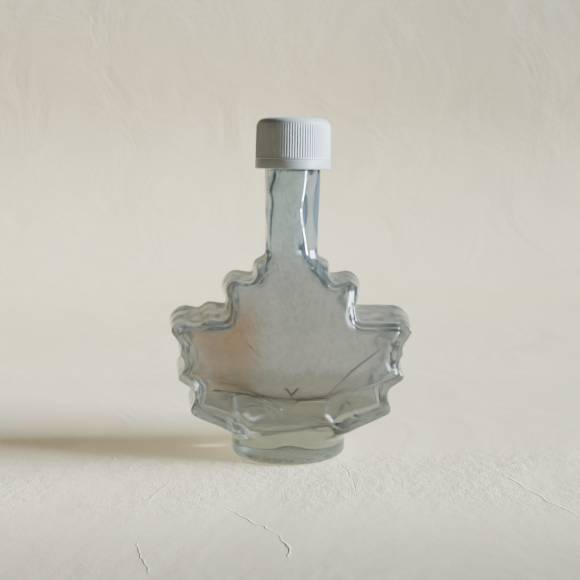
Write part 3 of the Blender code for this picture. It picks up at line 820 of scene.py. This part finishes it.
def new_material(name):
    """An empty material, what adds a node to it, and the place of a point on the piece."""
    material = bpy.data.materials.new(name)
    material.use_nodes = True
    material.node_tree.nodes.clear()
    add = partial(add_node, material.node_tree)
    return material, add, add("TexCoord").outputs["Object"]


def graded(add, *maps, **how):
    """The product of maps, each given as a value and its numbers; they run straight or as how says."""
    shares = [add("MapRange", row, **how) for row in maps]
    return reduce(lambda first, second: add("Math", [first, second], operation="MULTIPLY"), shares)


def layered(add, colour, *layers):
    """A colour with others laid over it, each by its share."""
    for share, over in layers:
        colour = add("Mix", {0: share, 6: colour, 7: over}, data_type="RGBA")
    return colour


def finish_glass(add, sockets):
    """The glass itself.  The window shines through it, so that its shadow is pale and not black."""
    glass = add("BsdfPrincipled", {"IOR": GLASS_IOR, **sockets})
    clear = add("BsdfTransparent", [SHADOW_TINT])
    add("OutputMaterial", [add("MixShader", [add("LightPath").outputs["Is Shadow Ray"], glass, clear])])


def flint_glass(settings):
    """Moulded soda-lime glass: smooth, almost without colour and a little grey-green.  The tint's grey
    is deepened as painted shade, for the dark surroundings seen through it: darker towards the
    base, and lighter and bluer in the neck.  Dark lines in the crease, the grooves and along the
    parting line are painted shade too.  Fine wear, drawn coarse enough to show, at 0.9 mm, makes
    it uneven."""
    material, add, place = new_material("moulded flint glass")
    z = add("SeparateXYZ", [place]).outputs["Z"]
    base_shade, neck_shade = (add("MapRange", [z, *ends], **SMOOTH) for ends in (BASE_SHADE_Z, NECK_SHADE_Z))
    colour = layered(add, settings.tint, (base_shade, BASE_SHADE_TINT), (neck_shade, NECK_SHADE_TINT))
    wear = add("TexNoise", {"Vector": place, "Scale": 1100.0, "Detail": 3.0, "Roughness": 0.7})
    worn = add("VectorMath", {0: colour, "Scale": add("MapRange", [wear, *WEAR])}, operation="SCALE")
    # painted shade: dark lines in the crease, the grooves and along the parting line
    dark_lines, walls = (add("Attribute", attribute_name=name).outputs["Fac"] for name in ("painted_shade_lines", "walls"))
    finish_glass(add, {
        "Base Color": layered(add, worn, (dark_lines, settings.painted_shade_lines)),
        "Roughness": add("MapRange", [walls, *WALL_ROUGHNESS]), "Transmission Weight": CLEARNESS})
    return material


def stippled_glass(settings):
    """The base: moulded stippling, 1.1 mm apart, that spreads the light."""
    material, add, place = new_material("stippled flint glass")
    stipple = add("TexVoronoi", {"Vector": place, "Scale": 900.0})
    bump = add("Bump", {"Strength": 0.6, "Distance": 0.0003, "Height": stipple})
    finish_glass(add, {
        "Base Color": settings.tint, "Roughness": 0.3, "Transmission Weight": 1.0, "Normal": bump})
    return material


def filmed_glass(settings):
    """The inside of the leaf: glass with a dull dried film that blurs and greys what is behind it.

    The film carries a painted shadow at the left, the bottle's brown shadow as if seen through
    the glass, and is darker towards the bottom of the cavity.  It is clouded over 22 mm and
    specked at 1.3 mm, and thins out up the bore.
    """
    material, add, place = new_material("flint glass with a dried film")
    x, _, z = add("SeparateXYZ", [place]).outputs
    cloud = add("TexNoise", {"Vector": place, "Scale": 45.0, "Detail": 2.0, "Roughness": 0.5})
    grain = add("TexNoise", {"Vector": place, "Scale": 800.0, "Detail": 3.0, "Roughness": 0.6})
    # painted shadow at the left, patchy, and darker low down
    left = graded(add, (x, *LEFT_SHADOW_X), (z, *LEFT_SHADOW_Z), **SMOOTH)
    patchy = add("MapRange", [cloud, *LEFT_SHADOW_PATCHES])
    shadowed = add("Math", [left, patchy], operation="MULTIPLY", use_clamp=True)
    colour = layered(
        add, settings.film, (shadowed, settings.painted_shadow),
        # darker towards the bottom of the cavity
        (add("MapRange", [z, *BOTTOM_Z], **SMOOTH), BOTTOM_TINT),
        (graded(add, (z, *BOTTOM_Z), (x, *LEFT_SHADOW_X), **SMOOTH), LOW_LEFT_SHADOW))
    tone = graded(add, (grain, *SPECKS), (cloud, *HAZE), (x, *PALER_RIGHT_X))
    speckled = add("VectorMath", {0: colour, "Scale": tone}, operation="SCALE")
    film = add("Attribute", attribute_name="film").outputs["Fac"]
    dull = add("MapRange", [film, 0.0, 1.0, BARE_ROUGHNESS, settings.film_roughness])
    finish_glass(add, {
        "Base Color": layered(add, BARE_TINT, (film, speckled)), "Roughness": dull,
        "Transmission Weight": 1.0})
    return material


def cap_plastic(settings):
    """Injection-moulded polypropylene: satin and slightly milky, with handling marks of 6 mm and a
    mould grain of 0.4 mm, drawn coarser than the real one so that it shows.  The band below the
    ribs is darker, as painted shade."""
    material, add, place = new_material("moulded polypropylene")
    grime = add("TexNoise", {"Vector": place, "Scale": 160.0, "Detail": 4.0, "Roughness": 0.55})
    grain = add("TexNoise", {"Vector": place, "Scale": 2600.0, "Detail": 2.0})
    z = add("SeparateXYZ", [place]).outputs["Z"]
    # handling marks, and painted shade on the band below the ribs
    tone = graded(add, (grime, *GRIME), (z, *BAND_SHADE_Z))
    colour = add("VectorMath", {0: tuple(settings.colour), "Scale": tone}, operation="SCALE")
    bump = add("Bump", {"Strength": 0.4, "Distance": 0.00004, "Height": grain})
    add("OutputMaterial", [add("BsdfPrincipled", {
        "Base Color": colour, "Roughness": 0.42, "IOR": 1.49, "Normal": bump})])
    return material


def furrow_height(add, x, y, wear, rise, half_width, points):
    """One trowel mark: a curve gives its x at every y, and its height is a soft S over the distance
    to that, worn in places and running out at both ends."""
    line_x, line_y = np.array(points).T * MM
    along = (line_y - line_y[0]) / (line_y[-1] - line_y[0])
    across = (line_x - line_x.min()) / (line_x.max() - line_x.min())
    at = add("MapRange", [y, line_y[0], line_y[-1]])
    curve = add("FloatCurve", {"Value": at})
    knots = curve.mapping.curves[0].points
    knots[0].location, knots[1].location = (0.0, across[0]), (1.0, across[-1])
    for knot in zip(along[1:-1], across[1:-1]):
        knots.new(*knot)
    curve.mapping.update()
    line = add("MapRange", [curve, 0.0, 1.0, line_x.min(), line_x.max()])
    gap = add("Math", [add("Math", [x, line], operation="SUBTRACT")], operation="ABSOLUTE")
    return graded(add, (gap, 0.0, half_width * MM, rise * MM, 0.0), (wear, *FURROW_WORN),
                   (at, *FURROW_START), (at, *FURROW_END), **SMOOTH)


def plaster(settings):
    """Trowelled plaster: chalky, with faint clouds and trowel marks, and sandy round the bottle.  Its
    colour carries painted shade, darker towards the right, the front and far off, and a painted
    bright patch of light beside the foot.
    """
    material, add, place = new_material("trowelled plaster")
    x, y, z = add("SeparateXYZ", [place]).outputs
    # the table's sizes: 45 and 110 mm, 0.5 mm, 3 mm, 60 mm, 4 mm and 8 mm
    table = ((22.0, 2.0, 0.0), (9.0, 3.0, 0.0), (1900.0, 2.0, 0.0), (300.0, 3.0, 0.0), (16.0, 4.0, 0.8),
             (240.0, 2.0, 0.0), (130.0, 2.0, 0.0))
    patches, clouds, sand, lumps, trowel, drift, wear = (add("TexNoise", {
        "Vector": place, "Scale": scale, "Detail": detail, "Roughness": 0.58, "Distortion": distortion})
        for scale, detail, distortion in table)
    back = add("MapRange", [y, *SKIRTING_Y], **SMOOTH)
    top_share = add("MapRange", [z, *TOP_WALL_Z], **SMOOTH)
    colour = layered(add, settings.floor, (back, settings.wall), (top_share, TOP_WALL_TINT))

    # how far a point is from the bright patch, in reaches of that patch
    away = add("VectorMath", [place, np.multiply(GATHERED_LIGHT, MM)], operation="SUBTRACT")
    away = add("VectorMath", [away, np.multiply(GATHERED_REACH, MM)], operation="DIVIDE")
    away = add("VectorMath", [away], operation="LENGTH")
    slanted = add("Math", [y, DIM_SLANT, x], operation="MULTIPLY_ADD")
    # faint clouds, and painted light and shade: the bright patch beside the foot, darker towards the
    # right and the front, and dark far off
    tone = graded(
        add, (clouds, *CLOUDS), (away, 0.2, 1.0, settings.gathered, 1.0),
        (x, *RIGHT_SHADE_X), (y, *FRONT_SHADE_Y), (slanted, *np.multiply(DIM_LEFT, MM), 1.0, DIM_SHARE),
        (y, *np.multiply(DIM_FRONT, MM), 1.0, DIM_SHARE), **SMOOTH)
    shade = add("VectorMath", {0: colour, "Scale": tone}, operation="SCALE")

    height = add("Math", [sand, SAND_HEIGHT], operation="MULTIPLY")
    height = add("Math", [lumps, LUMP_HEIGHT, height], operation="MULTIPLY_ADD")
    sandy = graded(add, (y, *SAND_BACK_Y), (y, *SAND_FRONT_Y), (patches, *SAND_PATCHES), **SMOOTH)
    height = add("Math", [sandy, height], operation="MULTIPLY")
    height = add("Math", [trowel, TROWEL_HEIGHT, height], operation="MULTIPLY_ADD")
    drift = add("MapRange", [drift, 0.0, 1.0, -FURROW_WANDER, FURROW_WANDER])
    drifted = add("Math", [x, drift], operation="ADD")
    for furrow in FURROWS:
        height = add("Math", [height, furrow_height(add, drifted, y, wear, *furrow)], operation="ADD")
    bump = add("Bump", {"Strength": 0.8, "Distance": 1.0, "Height": height})
    add("OutputMaterial", [add("BsdfPrincipled", {
        "Base Color": shade, "Roughness": 0.85, "Normal": bump})])
    return material


# ======== stage ========

def sweep_sheet():
    """The floor, a quarter-circle bend and the wall, as one profile drawn out along X."""
    bend = np.radians(np.linspace(-90.0, 0.0, 17))
    y = np.r_[STAGE_FRONT, 0.0, WALL_START + WALL_BEND * np.cos(bend), WALL_START + WALL_BEND]
    z = np.r_[0.0, 0.0, WALL_BEND + WALL_BEND * np.sin(bend), WALL_TOP]
    x = np.linspace(STAGE_LEFT, STAGE_RIGHT, 5)
    return np.stack(np.broadcast_arrays(x[None, :], y[:, None], z[:, None] - FLOOR_DROP), -1)


def add_window(name, settings, azimuth, elevation, width, power):
    """A window pane at the right, of the set height and distance."""
    light = bpy.data.lights.new(name, "AREA")
    light.shape, light.size, light.size_y = "RECTANGLE", width, settings.window_height
    light.energy, light.color = power, settings.window_colour
    item = add_object(name, light)
    level, rise = math.cos(elevation), math.sin(elevation)
    aim = Vector(WINDOW_AIM) * MM
    way = Vector((math.sin(azimuth) * level, -math.cos(azimuth) * level, rise))
    place = Matrix.Translation(aim + way * settings.window_distance)
    item.matrix_world = place @ (-way).to_track_quat("-Z", "Y").to_matrix().to_4x4()
    return item


def add_camera():
    """The camera, placed and turned in the bottle's own frame."""
    camera = bpy.data.cameras.new("camera")
    camera.sensor_width, camera.lens = SENSOR, CAMERA_LENS
    item = add_object("camera", camera)
    place = Matrix.Translation(Vector(CAMERA_PLACE) * MM)
    turn = Matrix.Rotation(-CAMERA_YAW, 4, "Z") @ Matrix.Rotation(math.pi / 2 + CAMERA_PITCH, 4, "X")
    item.matrix_world = place @ turn @ Matrix.Rotation(CAMERA_ROLL, 4, "Z")
    bpy.context.scene.camera = item


# ======== operators ========

class MAPLE_OT_glass(bpy.types.Operator):
    """Makes the leaf, foot and neck of the bottle as one closed piece of glass."""

    bl_idname = "maple.glass"
    bl_label = "Mould the glass"

    def execute(self, context):
        settings = context.scene.maple_glass
        sheets = skin_sheets(settings) + neck_sheets() + cavity_sheets()
        materials = [make(settings) for make in (flint_glass, filmed_glass, stippled_glass)]
        data = closed_mesh("leaf_glass", sheets, materials)
        add_marks(data)
        wave_surface(data, settings.waves)
        place_piece("leaf_glass", data, "bottle")
        return {"FINISHED"}


class MAPLE_OT_cap(bpy.types.Operator):
    """Makes the ribbed screw cap."""

    bl_idname = "maple.cap"
    bl_label = "Mould the cap"

    def execute(self, context):
        settings = context.scene.maple_cap
        data = closed_mesh("ribbed_cap", cap_sheets(settings), [cap_plastic(settings)])
        place_piece("ribbed_cap", data, "cap")
        return {"FINISHED"}


class MAPLE_OT_stage(bpy.types.Operator):
    """Sets the floor, the wall, the window, the light of the room and the camera."""

    bl_idname = "maple.stage"
    bl_label = "Set the stage"

    def execute(self, context):
        settings = context.scene.maple_stage
        grid = sweep_sheet()
        data = bpy.data.meshes.new("stage")
        data.from_pydata(grid.reshape(-1, 3) * MM, [], sheet_faces(grid.shape, False))
        data.materials.append(plaster(settings))
        data.shade_smooth()
        stage = add_object("stage", data)
        add_window("window", settings, settings.window_azimuth, settings.window_elevation,
                   settings.window_width, settings.window_power)
        glint = add_window("window edge", settings, settings.edge_azimuth, EDGE_LIGHT_ELEVATION,
                           EDGE_LIGHT_WIDTH, settings.edge_power)
        glint.visible_diffuse = False     # seen only as a thin glint in glass and plastic
        context.scene.world = world = bpy.data.worlds.new("room")
        world.use_nodes = True
        world.node_tree.nodes["Background"].inputs["Color"].default_value = (*settings.room, 1.0)
        add_camera()
        return {"FINISHED"}


class MAPLE_PT_bottle(bpy.types.Panel):
    """Lists the bottle's settings and the buttons that make its pieces."""

    bl_idname = "MAPLE_PT_bottle"
    bl_label = "Maple leaf bottle"
    bl_space_type = "VIEW_3D"
    bl_region_type = "UI"
    bl_category = "Maple bottle"

    def draw(self, context):
        for group in GROUPS:
            box = self.layout.box()
            settings = getattr(context.scene, group)
            for name in settings.bl_rna.properties.keys():
                if name not in ("rna_type", "name"):
                    box.prop(settings, name)
            box.operator(group.replace("_", "."))     # operator and group share a name


CLASSES = (GlassSettings, CapSettings, StageSettings,
           MAPLE_OT_glass, MAPLE_OT_cap, MAPLE_OT_stage, MAPLE_PT_bottle)
GROUPS = {"maple_glass": GlassSettings, "maple_cap": CapSettings, "maple_stage": StageSettings}


def register():
    for item in CLASSES:
        bpy.utils.register_class(item)
    for name, group in GROUPS.items():
        setattr(bpy.types.Scene, name, PointerProperty(type=group))


def unregister():
    for name in GROUPS:
        delattr(bpy.types.Scene, name)
    for item in reversed(CLASSES):
        bpy.utils.unregister_class(item)


def main():
    register()
    bpy.ops.maple.glass()
    bpy.ops.maple.cap()
    bpy.ops.maple.stage()


if __name__ == "__main__":
    main()
